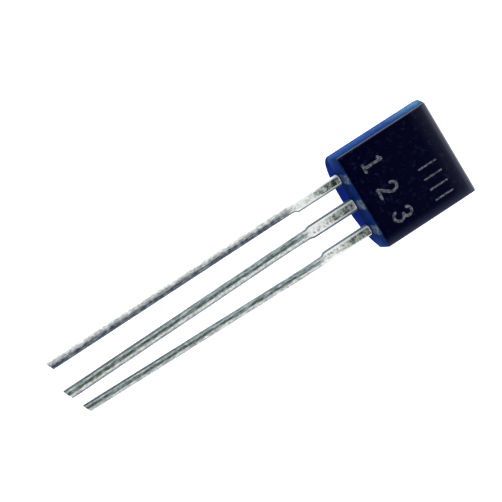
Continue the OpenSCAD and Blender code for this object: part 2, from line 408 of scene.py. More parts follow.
def behind_face(tree, x, y, z):
    """How far behind the flat face a place is, the same as a share of how deep the round beside
    the face is there, and how far the face has fallen away toward the right flank."""
    case = settings().case
    half = case.width / 2
    ridge_depth, brow_depth = 0.7 * case.ridge_round, 3.5 * case.brow_round
    # The deep round of the upper end stops short of the left flank, and the right flank's round
    # reaches furthest back
    corner = add(tree, "MapRange", x, -0.97 * half, -0.9 * half, ridge_depth, brow_depth)
    reach = add(tree, "MapRange", z, case.height - 1.5 * case.brow_round, case.height,
                ridge_depth, corner)
    cheek = add(tree, "MapRange", x, 0.465 * case.width, 0.48 * case.width, 1.0, 4.5)
    far_reach = add(tree, "Math", reach, cheek, operation="MULTIPLY")
    round_depth = add(tree, "Math", far_reach, brow_depth, operation="MINIMUM")
    depth = add(tree, "Math", y, case.face_depth, operation="ADD")
    for along, edge, start, drop in ((z, case.height, case.brow_reach, case.brow_roll),
                                     (x, half, case.cheek_reach, case.cheek_roll)):
        near_edge = add(tree, "MapRange", along, edge - start, edge)
        fallen = add(tree, "Math", near_edge, 2.0, operation="POWER")
        depth = add(tree, "Math", fallen, -drop, depth, operation="MULTIPLY_ADD")
    return depth, add(tree, "Math", depth, round_depth, operation="DIVIDE"), fallen


def epoxy_sides(tree, x, y, z, flecks):
    """The blue of the drafted flanks, the ends and the round back, with painted shade and highlight
    on the flanks and the ends, and a grey-green patch above each lead on the end, a painted
    reflection of the lead."""
    look, case, leads = settings().finish, settings().case, settings().leads
    half = case.width / 2
    # Painted shade: the flanks darken from the parting line toward the face. Painted highlight:
    # they turn a paler blue toward the upper end
    fade = add(tree, "MapRange", y, 0.0, -case.face_depth, 1.12, 0.15)
    up = add(tree, "MapRange", z, 0.6 * case.height, 1.1 * case.height)
    wall = add(tree, "Mix", up, look.epoxy_flank, look.epoxy_brow_highlight, data_type="RGBA")
    flank = add(tree, "VectorMath", wall, fade, operation="SCALE")
    low_end = add(tree, "MapRange", z, 0.2 * MM, 0.12 * MM)
    high_end = add(tree, "MapRange", z, case.height - 0.25 * MM, case.height - 0.12 * MM)
    at_end = add(tree, "Math", low_end, high_end, operation="MAXIMUM")
    wide = add(tree, "Math", x, operation="ABSOLUTE")
    middle = add(tree, "MapRange", wide, 0.98 * half, 0.65 * half, 0.35, 1.0)
    end = add(tree, "Math", middle, at_end, operation="MULTIPLY")
    # Painted shade: the ends in front of the parting line take a darker tone than the back,
    # lightened toward the face
    forward = add(tree, "MapRange", y, -0.45 * case.face_depth, -case.face_depth, 1.0, 1.7)
    shaded_end_tone = add(tree, "VectorMath", look.epoxy_end_shade, forward, operation="SCALE")
    front = add(tree, "Mix", end, flank, shaded_end_tone, data_type="RGBA")
    # Painted reflection: a dull grey-green patch above each lead on the end of the case, broken up
    # by the flecks
    off = add(tree, "Math", x, leads.shift, operation="SUBTRACT")
    from_lead = add(tree, "Math", off, leads.pitch / 2, operation="PINGPONG")
    film = add(tree, "MapRange", from_lead, 0.27 * MM, 0.17 * MM)
    broken = add(tree, "MapRange", flecks, 0.38, 0.58)
    ahead = add(tree, "MapRange", y, -0.3 * case.face_depth, -0.8 * case.face_depth, 0.1, 0.9)
    for shown in (broken, ahead, low_end):
        film = add(tree, "Math", film, shown, operation="MULTIPLY")
    with_lead_reflection = add(tree, "Mix", film, front, look.film, data_type="RGBA")
    past_line = add(tree, "MapRange", y, -0.06 * MM, 0.08 * MM)
    return add(tree, "Mix", past_line, with_lead_reflection, look.epoxy_back, data_type="RGBA")


def moulded_epoxy():
    """Silica-filled epoxy moulding compound, dyed blue-black and moulded in spark-eroded steel:
    near black with a satin skin on the flat face, and a duller deep blue on the drafted sides."""
    look, case = settings().finish, settings().case
    material, tree, place = new_material("moulded_epoxy")
    x, y, z = add(tree, "SeparateXYZ", place).outputs
    haze = add(tree, "TexNoise", place, Scale=1 / DYE_CLOUD, Detail=4.0, Roughness=0.65)
    grain = add(tree, "TexNoise", place, Scale=1 / FILLER_GRAIN, Detail=3.0)
    flecks = add(tree, "TexNoise", place, Scale=1 / FILLER_FLECK, Detail=5.0, Roughness=0.7)
    depth, share, fallen = behind_face(tree, x, y, z)
    # Filler shows as fine pale specks, and the face takes the filler's tone evenly where it falls
    # away beside the right flank, a painted sheen
    specks = add(tree, "MapRange", flecks, 0.55, 0.9, 0.0, 0.8)
    worn = add(tree, "Math", specks, fallen, operation="MAXIMUM")
    face = add(tree, "Mix", worn, look.epoxy_face, look.epoxy_filler_and_sheen, data_type="RGBA")
    behind = add(tree, "MapRange", share, 0.3, 0.7, interpolation_type="SMOOTHSTEP")
    chin = add(tree, "MapRange", z, 2.2 * case.chin_round, 1.0 * case.chin_round)
    bare = add(tree, "Math", behind, chin, operation="MAXIMUM")
    sides = epoxy_sides(tree, x, y, z, flecks)
    base = add(tree, "Mix", bare, face, sides, data_type="RGBA")
    cloud = add(tree, "MapRange", haze, 0.3, 0.7, 0.65, 1.4)
    tinted = add(tree, "VectorMath", base, cloud, operation="SCALE")
    # The satin skin ends past the rounds beside the face
    past_ridge = add(tree, "MapRange", share, 0.9, 1.5)
    past_brow = add(tree, "MapRange", depth, 1.1 * case.brow_round, 2.0 * case.brow_round)
    past_rounds = add(tree, "Math", past_ridge, past_brow, operation="MAXIMUM")
    dull_skin = add(tree, "Math", past_rounds, chin, operation="MAXIMUM")
    skin = add(tree, "MapRange", dull_skin, 0.0, 1.0, 1.0, 0.01)
    bump = add(tree, "Bump", Strength=0.25, Distance=0.004 * MM, Height=grain)
    shader = add(tree, "BsdfPrincipled", tinted, Roughness=0.5, Specular_IOR_Level=0.0,
                 Coat_Weight=skin, Coat_IOR=1.5, Coat_Roughness=0.15, Normal=bump)
    add(tree, "OutputMaterial", shader)
    return material


def tin_relief(tree, place, drawn, across, along, wide):
    """The height of the pebbles on the wide zone and of the streaks on the thin runs, and how
    much of them shows: at the coined edges of the wide zone, nothing does."""
    pebbles = add(tree, "TexNoise", place, Scale=1 / TIN_PEBBLE, Detail=3.0, Roughness=0.6)
    streaks = add(tree, "TexNoise", drawn, Scale=1 / TIN_STREAK, Detail=4.0, Roughness=0.65)
    flat = add(tree, "MapRange", across, 1.05, 0.75, interpolation_type="SMOOTHSTEP")
    thinned = add(tree, "MapRange", along, -1.6, -0.6, 0.85, 1.0)
    grainy = add(tree, "Math", flat, thinned, operation="MULTIPLY")
    thin = add(tree, "MapRange", wide, 0.0, 1.0, 0.8, 0.0)
    shown = add(tree, "Math", grainy, thin, operation="MAXIMUM")
    return add(tree, "Mix", wide, streaks, pebbles), shown


def dipped_tin():
    """Copper-alloy strip, stamped and dipped in tin: the coined edges are clean and bright, the
    flats below the case are pebbled where the tin froze, the thin runs are drawn out in fine
    streaks, and the stamped narrow sides are darker, partly by painted shade, with painted shade,
    highlight and a dark reflection painted along the leads."""
    look, leads = settings().finish, settings().leads
    material, tree, place = new_material("dipped_tin")
    across, along, _ = add(tree, "SeparateXYZ", add(tree, "UVMap", uv_map="strip")).outputs
    streak_amount, purple_shade_share, _ = add(tree, "SeparateXYZ", add(tree, "UVMap", uv_map="painted_streak")).outputs
    shade, narrow, _ = add(tree, "SeparateXYZ", add(tree, "UVMap", uv_map="edges")).outputs
    # 1 on the wide zone and 0 on the thin runs, and 1 near the case and 0 below it
    wide = add(tree, "MapRange", along, -(leads.shoulder + leads.taper) / MM - 0.3,
               -leads.shoulder / MM, interpolation_type="SMOOTHSTEP")
    near_case = add(tree, "MapRange", along, -1.9, -0.6, interpolation_type="SMOOTHSTEP")
    drawn = add(tree, "Mapping", place, Scale=(1.0, 1.0, 0.12))
    smears = add(tree, "TexNoise", drawn, Scale=1 / TIN_SMEAR, Detail=4.0, Roughness=0.6)
    height, shown = tin_relief(tree, place, drawn, across, along, wide)
    # The grain lies thick near the case and thins out to single specks below it
    sparse = add(tree, "MapRange", near_case, 0.0, 1.0, 0.49, 0.3)
    first_speck = add(tree, "MapRange", wide, 0.0, 1.0, 0.36, sparse)
    dull = add(tree, "MapRange", height, first_speck, 0.6)
    # Where shade is below 0, a painted highlight clears the grain away
    outside_highlight = add(tree, "MapRange", shade, -1.0, 0.0)
    cells = add(tree, "Math", shown, dull, operation="MULTIPLY")
    grain = add(tree, "Math", cells, outside_highlight, operation="MULTIPLY")
    pale = add(tree, "Mix", wide, look.tin_dull, look.tin_grain, data_type="RGBA")
    tone = add(tree, "Mix", near_case, pale, look.tin_dark, data_type="RGBA")
    top = add(tree, "Mix", grain, look.tin_bright, tone, data_type="RGBA")
    # The clean coined edges, the shaded tone on one half of the thin runs, a painted shade, and the
    # narrow sides, darker partly by painted shade
    coined = add(tree, "MapRange", across, 0.85, 1.05)
    clean = add(tree, "Math", coined, wide, operation="MULTIPLY")
    rim = add(tree, "Mix", clean, top, look.tin_rim, data_type="RGBA")
    drawn_tone = add(tree, "MapRange", smears, 0.36, 0.64, 1.9, 0.4)
    duller = add(tree, "VectorMath", look.tin_shade, drawn_tone, operation="SCALE")
    shaded = add(tree, "Mix", shade, rim, duller, data_type="RGBA")
    skin = add(tree, "Mix", narrow, shaded, look.tin_side, data_type="RGBA")
    # Painted dark reflection and painted shade in streaks with ragged ends, and a duller tone
    # beside the case
    mark = add(tree, "Mix", purple_shade_share, look.tin_dark_streak, look.tin_purple_shade, data_type="RGBA")
    ragged = add(tree, "MapRange", smears, 0.35, 0.58, 0.7, 1.25)
    spots = add(tree, "Math", streak_amount, ragged, operation="MULTIPLY", use_clamp=True)
    base = add(tree, "Mix", spots, skin, mark, data_type="RGBA")
    # Blotches, longer than they are wide, that show most on the thin runs
    worn = add(tree, "Mapping", place, Scale=(1.0, 1.0, 0.5))
    blotches = add(tree, "TexNoise", worn, Scale=1 / TIN_BLOTCH, Detail=4.0, Roughness=0.65)
    low = add(tree, "MapRange", wide, 0.0, 1.0, 0.55, 0.9)
    high = add(tree, "MapRange", wide, 0.0, 1.0, 1.35, 1.1)
    mottle = add(tree, "MapRange", blotches, 0.35, 0.65, low, high)
    seen = add(tree, "VectorMath", base, mottle, operation="SCALE")
    rough = add(tree, "MapRange", height, 0.0, 1.0, 0.24, 0.4)
    rise = add(tree, "Math", shown, height, operation="MULTIPLY")
    bump = add(tree, "Bump", Strength=1.0, Distance=0.03 * MM, Height=rise)
    clear = add(tree, "MapRange", wide, 0.0, 1.0, 0.7, 0.58)
    metal = add(tree, "MapRange", narrow, 0.0, 1.0, clear, 0.1)
    shader = add(tree, "BsdfPrincipled", seen, Metallic=metal, Roughness=rough,
                 Specular_IOR_Level=0.1, Normal=bump)
    add(tree, "OutputMaterial", shader)
    return material


def one_tone(name, tone, grain, shares, relief=None, detail=3.0, **values):
    """A finish of one tone with grain of that size. shares says how the grain scales the tone:
    its low and high value, and what each gives. relief is the strength and the height of the
    grain, and values go to the shader's own inputs."""
    material, tree, place = new_material(name)
    spots = add(tree, "TexNoise", place, Scale=1 / grain, Detail=detail)
    tint = add(tree, "MapRange", spots, *shares)
    values["Base_Color"] = add(tree, "VectorMath", tone, tint, operation="SCALE")
    if relief:
        values["Normal"] = add(tree, "Bump", Strength=relief[0], Distance=relief[1], Height=spots)
    add(tree, "OutputMaterial", add(tree, "BsdfPrincipled", **values))
    return material


def sheared_metal():
    """Copper alloy where the strip was cut off: bare, slightly warm, torn in fine ridges."""
    return one_tone("sheared_metal", settings().finish.sheared, TORN_RIDGE, (0.0, 1.0, 0.7, 1.1),
                    (0.6, 0.01 * MM), 4.0, Metallic=1.0, Roughness=0.5)


def printed_ink():
    """Pale grey marking ink, stamped on and cured: matt, thin, and worn to small dark gaps."""
    return one_tone("printed_ink", settings().finish.ink, INK_GAP, (0.38, 0.6, 0.15, 1.35),
                    detail=4.0, Roughness=0.7, IOR=1.5)


def inner_metal(name, tone, roughness, grain, metallic=1.0):
    """A small inner piece's finish: one tone with fine grain of that size in millimetres."""
    return one_tone(name, tone, grain * MM, (0.0, 1.0, 0.8, 1.15), (0.3, 0.002 * MM),
                    Metallic=metallic, Roughness=roughness)


def pale_board():
    """Matt white board for the floor, with faint fibres, lit a little from below."""
    studio = settings().studio
    return one_tone("pale_board", studio.floor_colour, BOARD_FIBRE, (0.0, 1.0, 0.985, 1.0),
                    Roughness=0.9, Specular_IOR_Level=0.1, Emission_Strength=1.0,
                    Emission_Color=(studio.floor_glow,) * 3)


# ---------------------------------------------------------------- case

# How finely the case, the scar and the ejector pin are cut
FACE_COLUMNS = 48
RIDGE_STEPS = 8
FLANK_STEPS = 8
BACK_STEPS = 44
ROUND_STEPS = 8
HEIGHT_STEPS = 28
SCAR_CUTS = (28, 10, 4)
PIN_SIDES = 64

FLASH_WAVE = 0.35 * MM       # length of the waves in the flash
TEAR = 0.09 * MM             # width of the tears in the gate scar
FINE_TEAR = 0.03 * MM        # width of the finer tears in them
SCAR_ROOT = 0.3 * MM         # how deep the scar is rooted in the case
PIN_REACH = 0.5 * MM         # length of the ejector pin's end, from its mark outward


def plan_rows(case, face_in, flank_in):
    """Right half of the case's outline as seen from its end, from the face to the crest of the
    back, with the face and the flank moved inward. Each row is x, y and its share of the way
    round the ridge, from 0 on the face to 1 on the flank."""
    half = case.width / 2 - flank_in
    lean = math.tan(case.flank_draft)
    face_y = face_in - case.face_depth
    arc_y = face_y + case.ridge_round
    arc_x = half + arc_y * lean - case.ridge_round / math.cos(case.flank_draft)
    rows = []
    for turn in spread(-math.pi / 2, -case.flank_draft, RIDGE_STEPS):
        share = (turn + math.pi / 2) / (math.pi / 2 - case.flank_draft)
        rows.append((arc_x + case.ridge_round * math.cos(turn),
                     arc_y + case.ridge_round * math.sin(turn), share))
    for y in spread(rows[-1][1], -case.flash_width, FLANK_STEPS)[1:]:
        rows.append((half + y * lean, y, 1.0))
    for y in (-case.flash_width / 2, 0.0, case.flash_width / 2):
        rows.append((half + min(y, 0.0) * lean, y, 1.0))
    for turn in spread(math.asin(case.flash_width / half), math.pi / 2, BACK_STEPS):
        rows.append((half * math.cos(turn), half * math.sin(turn), 1.0))
    return rows


def end_rise(case, x, y):
    """How far the drafted end of the case lies inside its height at that place."""
    if y <= 0:
        return -y * math.tan(case.front_draft)
    return ramp(y, 0.0, case.flash_width) * math.hypot(x, y) * math.tan(case.back_draft)


def flash(case, x, y, z):
    """Height of the fine ridge where the two mould halves met, a little uneven along its way."""
    near = ramp(abs(y), case.flash_width, 0.0)
    uneven = 0.65 + 0.7 * noise.noise(Vector((x, y, z)) / FLASH_WAVE)
    return case.flash_height * near * max(0.0, uneven)


def face_drop(case, x, z):
    """How far the flat face lies behind its plane at that place: it sank a little in the middle,
    and falls away toward the upper end and the right flank."""
    across = max(0.0, 1 - (2 * x / case.width) ** 2)
    along = max(0.0, 1 - (2 * z / case.height - 1) ** 2)
    to_brow = ramp(z, case.height - case.brow_reach, case.height)
    to_cheek = ramp(x, case.width / 2 - case.cheek_reach, case.width / 2)
    return (case.face_sink * across * along + case.brow_roll * to_brow ** 2
            + case.cheek_roll * to_cheek ** 2)


def settled(case, point):
    """The point, moved back where it is on or near the flat face, by the drop of the face."""
    x, y, z = point
    near = ramp(y, case.cheek_reach - case.face_depth, -case.face_depth)
    return x, y + near * face_drop(case, x, z), z


def end_ring(case, turn, upper):
    """One half ring on the round of an end. turn goes from 0 on the end to a quarter turn on
    the side, and upper tells which end."""
    face_round = case.brow_round if upper else case.chin_round
    shut = 1 - math.sin(turn)
    half = []
    for x, y, share in plan_rows(case, face_round * shut, case.rim_round * shut):
        radius = face_round + (case.rim_round - face_round) * share
        z = end_rise(case, x, y) + radius * (1 - math.cos(turn))
        half.append((x, y, case.height - z if upper else z))
    return half


def case_rings(case):
    """All half rings, from the lead end to the upper end."""
    quarter = spread(0.0, math.pi / 2, ROUND_STEPS)
    lower = [end_ring(case, turn, False) for turn in quarter]
    upper = [end_ring(case, turn, True) for turn in reversed(quarter)]
    straight = []
    for share in spread(0.0, 1.0, HEIGHT_STEPS)[1:-1]:
        straight.append([(a[0], a[1], a[2] + (b[2] - a[2]) * share)
                         for a, b in zip(lower[-1], upper[0])])
    return lower + straight + upper


def whole_ring(case, half):
    """Closes a half ring: the face from left to right, then the right side, then the left."""
    face_x, face_y, face_z = half[0]
    face = [(x, face_y, face_z) for x in spread(-face_x, face_x, FACE_COLUMNS)]
    right = [(x + flash(case, x, y, z), y, z) for x, y, z in half[1:]]
    left = [(-x - flash(case, -x, y, z), y, z) for x, y, z in reversed(half[1:-1])]
    return face + right + left


def end_cap(case, half, upper):
    """Grid of points across an end: one row for each row of the half ring."""
    points = []
    for x, y, z in half:
        for across in spread(-x, x, FACE_COLUMNS):
            rise = end_rise(case, across, y)
            lift = flash(case, across, y, z)
            points.append((across, y, case.height - rise + lift if upper else rise - lift))
    return points


def case_mesh(case):
    """Points and faces of the drafted D-shaped case."""
    halves = case_rings(case)
    rings = [whole_ring(case, half) for half in halves]
    points = [point for ring in rings for point in ring]
    faces = loft_faces(len(rings), len(rings[0]))
    wide = FACE_COLUMNS + 1
    for half, upper in ((halves[0], False), (halves[-1], True)):
        first = len(points)
        points += end_cap(case, half, upper)
        for row in range(len(half) - 1):
            for column in range(FACE_COLUMNS):
                a = first + row * wide + column
                faces.append((a, a + 1, a + 1 + wide, a + wide))
    return [settled(case, point) for point in points], faces


def block(low, high, cuts, roughen):
    """A closed box between two corners with its sides cut into quads, each point moved by
    roughen, which takes the point and its share of the way along each axis."""
    points, faces, index = [], [], {}

    def corner(steps):
        """The index of the point that many cuts along each axis."""
        if steps not in index:
            index[steps] = len(points)
            share = [step / cut for step, cut in zip(steps, cuts)]
            place = Vector([a + (b - a) * s for a, b, s in zip(low, high, share)])
            points.append(roughen(place, share))
        return index[steps]

    for fixed in (2, 1, 0):
        a, b = (axis for axis in range(3) if axis != fixed)
        for i in range(cuts[a]):
            for j in range(cuts[b]):
                for end in (0, cuts[fixed]):
                    quad = []
                    for at_a, at_b in ((i, j), (i + 1, j), (i + 1, j + 1), (i, j + 1)):
                        steps = {a: at_a, b: at_b, fixed: end}
                        quad.append(corner(tuple(steps[axis] for axis in range(3))))
                    faces.append(tuple(quad))
    return points, faces


def gate_scar(case):
    """The stub left where the runner was broken off the upper end, torn and uneven."""
    def torn(point, share):
        """Roughens the top, and lowers it toward its two long edges."""
        if share[2] == 1:
            rough = noise.noise(point / TEAR) + 0.5 * noise.noise(point / FINE_TEAR)
            edge = 1 - abs(2 * share[1] - 1) ** 3
            point.z += 0.55 * case.gate_height * rough - 0.4 * case.gate_height * (1 - edge)
        return point

    low = (-case.gate_width / 2, -case.gate_thickness / 2, case.height - SCAR_ROOT)
    high = (case.gate_width / 2, case.gate_thickness / 2, case.height + case.gate_height)
    return mesh_object("gate_scar", *block(low, high, SCAR_CUTS, torn))


def ejector_pin(case):
    """The end of the pin that pushed the case out of its mould, as a cutting tool."""
    near = case.width / 2 - case.ejector_depth
    return cutting_pin("ejector_pin", 0.0, case.height / 2, case.ejector_d / 2,
                       near, near + PIN_REACH, PIN_SIDES)


# ---------------------------------------------------------------- leads

# Steps round each coined edge and across each side, and rows along each stretch of a lead
EDGE_STEPS = 6
FLAT_STEPS = 8
SIDE_STEPS = 4
HOLE_SIDES = 40
LEAN_ROWS = 190
STRAIGHT_ROWS = 18
TAPER_ROWS = 6
WIDE_ROWS = 24
NECK_ROWS = 15
ROOT_ROWS = 8
CORNER_ROWS = 6
HEAD_ROWS = 8

NECK = 0.3 * MM              # stretch below the case with closer rows
TUCK_REACH = 0.12 * MM       # stretch below the case where a lead draws in
TIP_REACH = 1.5 * MM         # stretch above the tip that the slanted cut bends
CUT_DEPTH = 0.2 * MM         # how far above the tip the cut's own faces are
RIM_BELOW = 0.005 * MM       # from the case down to the crest of the tin's rim
RIM_SPREAD = 0.045 * MM      # half the width of that rim
RIPPLE_FROM = 0.15 * MM      # from the case down to where the ripple starts
RIPPLE_FULL = 0.45 * MM      # from the case down to where it has its full height
RIPPLE_WAVE = 0.3 * MM       # width of its waves
STREAK_WAVE = 1.5 * MM        # length of the turns in the painted dark streak
FINE_STREAK_WAVE = 0.22 * MM  # length of the spots in that streak
SHADE_BAND = 0.05 * MM       # below the sheet's middle, until the sides are fully dark


def lead_stations(side):
    """The outline of a lead as rows of z, left x and right x, from the tip to its top. side is
    -1, 0 or 1 for the left, the middle and the right lead."""
    leads, inner = settings().leads, settings().inner
    name = ("left", "middle", "right")[side + 1]
    reach = getattr(leads, f"{name}_length")
    lean = math.tan(getattr(leads, f"{name}_lean"))
    half = (leads.outer_width if side else leads.middle_width) / 2
    head_x = leads.shift + side * leads.pitch
    if side:
        x = leads.shift + side * (leads.pitch + leads.outer_stub / 2)
        stubs = (leads.outer_stub, 0.0) if side > 0 else (0.0, leads.outer_stub)
        head_half = inner.post_width / 2
        head_low, head_high = inner.post_base, inner.post_base + inner.post_height
    else:
        x = leads.shift
        stubs = (leads.middle_stub, leads.middle_stub)
        head_half = inner.flag_width / 2
        head_low = inner.post_base + inner.post_height + inner.flag_gap
        head_high = head_low + inner.flag_height
    knee = -leads.shoulder - leads.taper
    rows = []
    for z in spread(-reach, -leads.lean_from, LEAN_ROWS):
        drift = (-z - leads.lean_from) * lean
        rows.append((z, x - half + drift, x + half + drift))
    for z in spread(-leads.lean_from, knee, STRAIGHT_ROWS)[1:]:
        rows.append((z, x - half, x + half))
    for z in spread(knee, -leads.shoulder, TAPER_ROWS)[1:]:
        share = (z - knee) / leads.taper
        ease = share * share * (3 - 2 * share)
        rows.append((z, x - half - stubs[0] * ease, x + half + stubs[1] * ease))
    left, right = x - half - stubs[0], x + half + stubs[1]
    for z in (spread(-leads.shoulder, -NECK, WIDE_ROWS)[1:] + spread(-NECK, 0.0, NECK_ROWS)[1:]
              + spread(0.0, head_low, ROOT_ROWS)[1:]):
        into = ramp(z, -TUCK_REACH, 0.0)
        tuck = leads.tuck * (1 - math.sqrt(1 - into ** 2))
        rows.append((z, left + tuck, right - tuck))
    rounds = [(inner.corner * (1 - math.cos(turn)), inner.corner * (1 - math.sin(turn)))
              for turn in spread(0.0, math.pi / 2, CORNER_ROWS)]
    head = [(head_low + rise, head_half - short) for rise, short in rounds]
    for z in spread(head_low + inner.corner, head_high - inner.corner, HEAD_ROWS)[1:-1]:
        head.append((z, head_half))
    head += [(head_high - rise, head_half - short) for rise, short in reversed(rounds)]
    return rows + [(z, head_x - edge, head_x + edge) for z, edge in head]


def section(left, right, thickness, radius):
    """One closed ring round a lead, as x, y and its mark across: 0 to 1 from the middle of a
    flat side to its edge, 1 to 2 round the coined edge, and 2 on the narrow side."""
    middle = (left + right) / 2
    inner_x, inner_y = (right - left) / 2 - radius, thickness / 2 - radius
    corners = []
    for side_x, side_y, start in ((1, -1, -90), (1, 1, 0), (-1, 1, 90), (-1, -1, 180)):
        corner = []
        for turn in spread(math.radians(start), math.radians(start + 90), EDGE_STEPS):
            mark = 1 + math.asin(min(1, abs(math.cos(turn)))) * 2 / math.pi
            corner.append((middle + side_x * inner_x + radius * math.cos(turn),
                           side_y * inner_y + radius * math.sin(turn), mark))
        corners.append(corner)
    ring = []
    for index, corner in enumerate(corners):
        ring += corner
        a, b = corner[-1], corners[(index + 1) % 4][0]
        narrow = index % 2 == 0
        for share in spread(0.0, 1.0, SIDE_STEPS if narrow else FLAT_STEPS)[1:-1]:
            mark = 2.0 if narrow else abs(2 * share - 1)
            ring.append((a[0] + (b[0] - a[0]) * share, a[1] + (b[1] - a[1]) * share, mark))
    return ring


def beside_case(z):
    """1 just below the case and 0 from the lower part of the wide zone down."""
    return ramp(z, -1.7 * MM, -0.8 * MM)


def on_thin_run(z):
    """0 on the wide zone and 1 on the thin run."""
    leads = settings().leads
    return ramp(z, -leads.shoulder, -leads.shoulder - 3 * leads.taper)


def toward_tip(z):
    """0 on the upper half of a lead and 1 on the last quarter of it."""
    return ramp(z, -7.0 * MM, -11.0 * MM)


def painted_streak(side, across, z):
    """How much of the dark streak tone a lead takes at a place across it, from -0.5 at its left
    edge to 0.5 at its right edge: painted shade along the right half of the left lead, a painted
    dark reflection down the middle of the others, and a duller tone on all three beside the case."""
    below = ramp(z, -settings().leads.shoulder, -settings().leads.shoulder - MM)
    wander = noise.noise(Vector((4.0 * side, 3.0, z / STREAK_WAVE)))
    rough = noise.noise(Vector((4.0 * side, 0.0, z / FINE_STREAK_WAVE)))
    if side < 0:
        near = max(0.1, ramp(across + 0.1 * rough, -0.25, 0.12))
        spot = (0.9 + 0.5 * rough) * near
    else:
        tipward = toward_tip(z)
        from_line = abs(across + 0.12 - 0.05 * tipward + 0.02 * wander)
        near = min(1.0, 1.4 * ramp(from_line, 0.17 + 0.04 * tipward, 0.0))
        spot = (0.85 + 0.4 * rough) * near
    dull_beside_case = (0.2, 0.3, 0.3)[side + 1] * beside_case(z) * ramp(abs(across), 0.5, 0.25)
    return min(1.0, max(0.0, below * spot + dull_beside_case))


def grain_spread(side, across, z):
    """How far the grain spreads over a coined edge, below 0 where the clean edge is wider."""
    if side == 0 and across > 0:
        return -0.2
    return 0.35 * beside_case(z) if side * across > 0 else 0.0


def shade_and_edge(side, across, y, mark, z):
    """How much of the shaded tone a place on a lead shows, a painted shade, below 0 where a painted
    highlight shows instead, and how much of the dark tone of its narrow sides, which is partly
    their own and partly painted shade. The outer sides of the outer leads get painted shade
    below the middle of the sheet."""
    # Below the middle of the sheet the narrow sides darken, a painted shade
    deep = ramp(y, 0.0, SHADE_BAND)
    below = on_thin_run(z)
    tipward = toward_tip(z)
    # A painted highlight on the lower part of the wide zone
    painted_highlight_low = -0.5 * (1 - below) * (1 - beside_case(z))
    # Of each three values, the first is the left lead's, then the middle's and the right one's
    if across < 0:
        outer, worn = 0.1 + 0.8 * deep, 0.5 + 0.4 * tipward
        wide_tone = (outer, 1.0, 0.9)[side + 1]
        thin_tone = (outer, worn, worn)[side + 1]
        start = (1.45 - 0.15 * below, 1.3, 1.3)[side + 1]
        shade = painted_highlight_low - 0.4 * below
        if side >= 0:
            # A painted highlight: a bright line beside the left edge, toward the tip
            beside_edge = ramp(abs(across + 0.3), 0.1, 0.0)
            shade = below * ramp(across, 0.0, -0.12) - 1.6 * tipward * beside_edge
    else:
        wide_tone = (0.8, 0.9, 0.2 + 0.6 * deep)[side + 1]
        thin_tone = (0.8, 0.55, 0.3 + 0.6 * deep)[side + 1]
        start = (1.1, 1.0, 1.1)[side + 1] + 0.1 * below
        # Painted highlight on the right half of the middle and the right lead, turning to painted
        # shade toward the right lead's tip
        duller = (0.0, -0.8, 0.5 * tipward - 0.2)[side + 1]
        shade = duller * below * ramp(across, 0.0, 0.1) + abs(side) * painted_highlight_low
    edge = ramp(mark, start, start + 0.2)
    return shade, edge * (wide_tone + (thin_tone - wide_tone) * below)


def lead_piece(side, name):
    """One lead, lofted along its outline with coined edges, a slanted cut at its tip, and the
    ripple and the rim of its tin dip. Its maps carry the mark across it and its z in
    millimetres, how much of the dark streak tone it takes and which one, and its painted shade
    and highlight and its narrow sides."""
    leads = settings().leads
    rows = lead_stations(side)
    slant = math.tan(leads.cut_slant)
    tip_z = rows[0][0]
    points = []
    maps = {"strip": [], "painted_streak": [], "edges": []}
    for z, left, right in rows:
        middle = (left + right) / 2
        near_tip = ramp(z, tip_z + TIP_REACH, tip_z)
        dipped = ramp(z, -RIPPLE_FROM, -RIPPLE_FULL)
        thin = on_thin_run(z)
        radius = leads.wide_round + (leads.thin_round - leads.wide_round) * thin
        rim = math.exp(-((z + RIM_BELOW) / RIM_SPREAD) ** 2)
        for x, y, across in section(left, right, leads.thickness, radius):
            seed = Vector((x, y, 0.35 * z)) / RIPPLE_WAVE + Vector((7.0 * side, 0.0, 0.0))
            swell = leads.ripple * dipped * noise.noise(seed)
            out = Vector((x - middle, y, 0.0)).normalized() * (swell + leads.rim * rim)
            points.append((x + out.x, y + out.y, z + near_tip * slant * (x - middle)))
            place = (x - middle) / (right - left)
            grained = across - grain_spread(side, place, z) * min(1.0, across)
            maps["strip"].append((max(grained, 1.15 * rim), z / MM))
            shade, edge = shade_and_edge(side, place, y, across, z)
            right_edge = place > 0.25
            streak_amount = max(painted_streak(side, place, z) * (1 - rim), edge if right_edge else 0.0)
            maps["painted_streak"].append((streak_amount, thin if side < 0 else float(right_edge)))
            maps["edges"].append((shade, edge))
    faces = loft_faces(len(rows), len(points) // len(rows), capped=True)
    return mesh_object(name, points, faces, maps)


def lock_hole():
    """The hole in the flag that the plastic fills, as a cutting tool."""
    leads, inner = settings().leads, settings().inner
    top = inner.post_base + inner.post_height + inner.flag_gap + inner.flag_height
    z = top - inner.lock_edge - inner.lock_d / 2
    return cutting_pin("lock_hole", leads.shift, z, inner.lock_d / 2,
                       -leads.thickness, leads.thickness, HOLE_SIDES)


# ---------------------------------------------------------------- marks on the face

STROKE_STEP = 0.03 * MM      # longest step along a stroke
# The crowned section of a stroke, as shares of its half width and its height
STROKE_ACROSS = ((-1.0, -0.4), (-0.8, 0.7), (-0.3, 1.0), (0.3, 1.0), (0.8, 0.7), (1.0, -0.4))
# How wide a stroke is along its round ends, as shares of its full width
STROKE_CAP = (0.0, 0.5, 0.8, 0.95)


def bow(cx, cz, rx, rz, start, end, steps=14):
    """Points on part of an ellipse, from one angle to another, in degrees."""
    return [(cx + rx * math.cos(math.radians(t)), cz + rz * math.sin(math.radians(t)))
            for t in spread(start, end, steps)]


